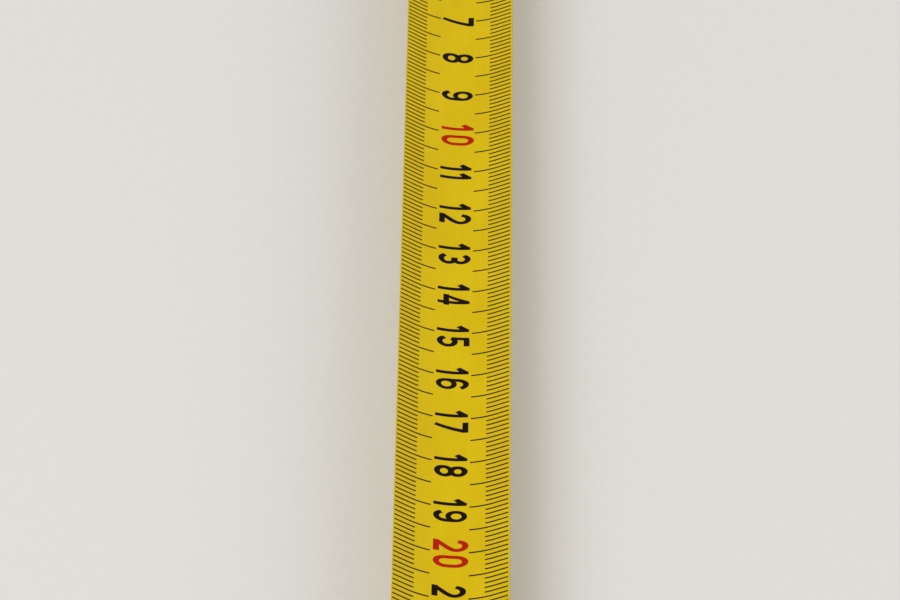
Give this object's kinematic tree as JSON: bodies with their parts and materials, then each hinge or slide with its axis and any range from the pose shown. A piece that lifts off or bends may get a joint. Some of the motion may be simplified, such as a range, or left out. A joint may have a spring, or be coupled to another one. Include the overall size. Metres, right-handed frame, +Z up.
{
  "type": "tape measure",
  "caption": "Pocket tape measure with a dished yellow steel blade pulled out of a moulded case, sprung spool, thumb lock, end hook and belt clip.",
  "frame": {"origin": "middle of the flat base of the case, on the surface that it stands on", "axes": "+X the way the blade pulls out, +Y to the left side with the belt clip, +Z up"},
  "size_m": [0.3803, 0.0365, 0.0643],
  "materials": {
    "case_plastic": "moulded ABS with a fine spark texture",
    "grip_rubber": "matt overmoulded rubber",
    "zinc_steel": "zinc-plated steel",
    "post_steel": "turned steel",
    "spool_plastic": "moulded natural plastic",
    "nylon": "natural nylon",
    "spring_steel": "blued spring steel",
    "blade_paint": "yellow lacquer over steel with printed scale",
    "hook_steel": "nickel-plated pressed steel",
    "rivet_steel": "nickel-plated steel",
    "button_plastic": "moulded red plastic",
    "shoe_rubber": "moulded black rubber",
    "clip_steel": "nickel-plated spring steel",
    "brass": "turned brass"
  },
  "bodies": {
    "case": {"case_left": "case_plastic", "case_right": "case_plastic", "grip_left": "grip_rubber", "grip_right": "grip_rubber", "case_screws": "zinc_steel", "centre_post": "post_steel", "spool_washers": "nylon", "blade": "blade_paint", "blade_guide": "nylon", "hook_bumper": "shoe_rubber", "belt_clip": "clip_steel", "clip_screw": "zinc_steel", "clip_insert": "brass"},
    "spool": {"spool_drum": "spool_plastic", "spool_cover": "spool_plastic", "return_spring": "spring_steel", "blade_coil": "blade_paint"},
    "blade_end": {"hook_rivets": "rivet_steel"},
    "hook": {"end_hook": "hook_steel"},
    "lock": {"lock_button": "button_plastic", "lock_shoe": "shoe_rubber"}
  },
  "joints": [
    {"name": "spool_turn", "type": "hinge", "parent": "case", "child": "spool", "pos_m": [-0.00431, 0, 0.03397], "axis": [0, 1, 0], "range_deg": [0, 715], "deforming": ["return_spring"]},
    {"name": "blade_slide", "type": "slide", "parent": "case", "child": "blade_end", "axis": [1, 0, 0], "range_m": [-0.308, 0], "deforming": ["blade"]},
    {"name": "hook_play", "type": "slide", "parent": "blade_end", "child": "hook", "axis": [1, 0, 0], "range_m": [-0.0009, 0]},
    {"name": "lock_slide", "type": "slide", "parent": "case", "child": "lock", "axis": [0.342, 0, -0.9397], "range_m": [-0.0045, 0]}
  ],
  "couplings": [
    {"joint": "blade_slide", "follows": "spool_turn", "m_per_rad": -0.024672}
  ]
}
